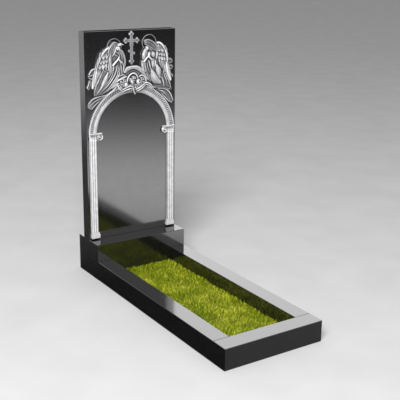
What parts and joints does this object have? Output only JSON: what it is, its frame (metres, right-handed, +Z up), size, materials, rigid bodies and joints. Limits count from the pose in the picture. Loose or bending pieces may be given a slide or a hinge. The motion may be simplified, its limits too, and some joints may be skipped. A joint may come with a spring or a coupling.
{
  "type": "granite monument",
  "caption": "Upright grave monument: a polished black granite stele with a carved arch, columns, angels and cross, on a grooved plinth with a kerbed turf bed.",
  "frame": {"origin": "on the ground, in the middle of the whole monument's length and width", "axes": "+X to the right of someone who faces the stele, +Y from the bed towards the stele's back, +Z up"},
  "size_m": [0.6, 1.56, 1.45],
  "materials": {
    "polished_granite": "polished",
    "carved_granite": "satin",
    "turf": "matte"
  },
  "bodies": {
    "root": {"stele": "carved_granite", "plinth": "polished_granite", "kerb_left": "polished_granite", "kerb_right": "polished_granite", "kerb_front": "polished_granite", "turf_bed": "turf"}
  },
  "joints": []
}
